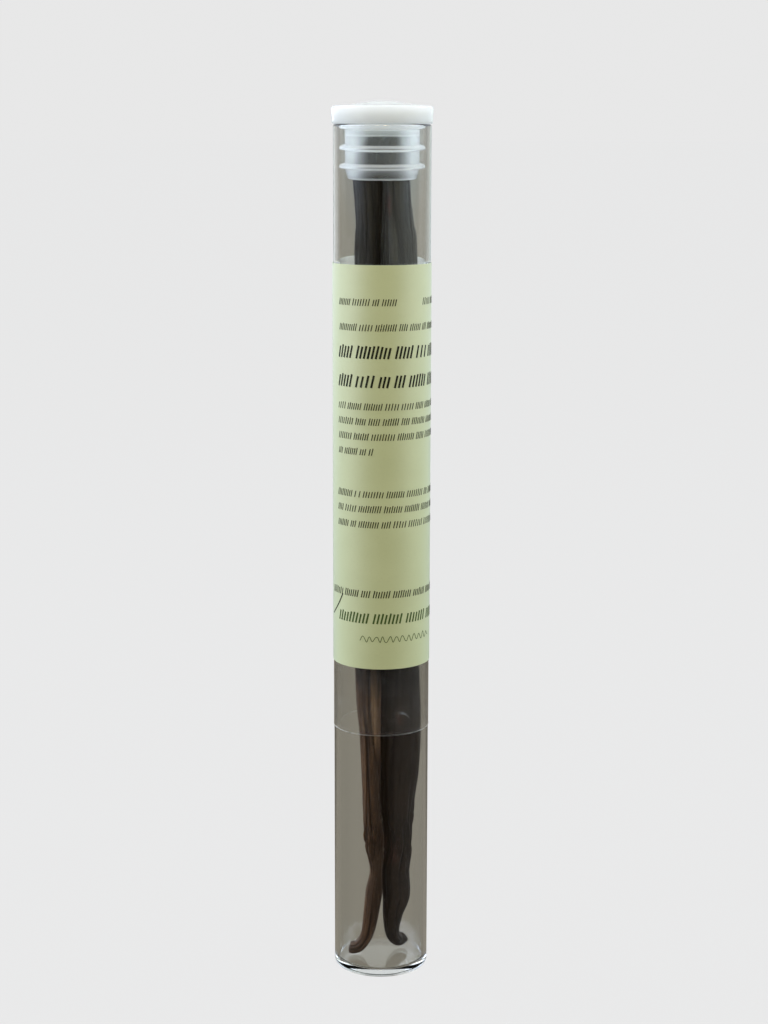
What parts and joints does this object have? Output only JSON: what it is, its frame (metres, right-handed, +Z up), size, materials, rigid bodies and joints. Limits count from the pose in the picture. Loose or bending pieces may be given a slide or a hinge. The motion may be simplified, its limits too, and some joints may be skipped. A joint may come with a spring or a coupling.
{
  "type": "vanilla pods in a stoppered tube",
  "caption": "Slim clear glass tube with a ribbed translucent stopper and a pale green wrap label, holding dark whole vanilla pods side by side.",
  "frame": {"origin": "middle of the tube's flat bottom, where it stands", "axes": "+Z up along the tube, towards the stopper; -Y is the front, with the middle of the label; +X is to the right seen from the front"},
  "size_m": [0.0208, 0.0208, 0.1847],
  "materials": {
    "glass": "clear, polished, thin-walled",
    "milky_plastic": "translucent natural plastic with a soft gloss",
    "label_paper": "pale sage green, smooth, with a faint sheen",
    "label_print": "matt dark print",
    "clear_film": "clear film, lightly creased",
    "pod_brown": "dark brown, oily and furrowed lengthwise",
    "pod_dark": "near black, oily and furrowed lengthwise"
  },
  "bodies": {
    "root": {"tube": "glass", "stopper": "milky_plastic", "film": "clear_film", "label": "label_paper", "pod_left": "pod_brown", "pod_right": "pod_dark"}
  },
  "joints": []
}
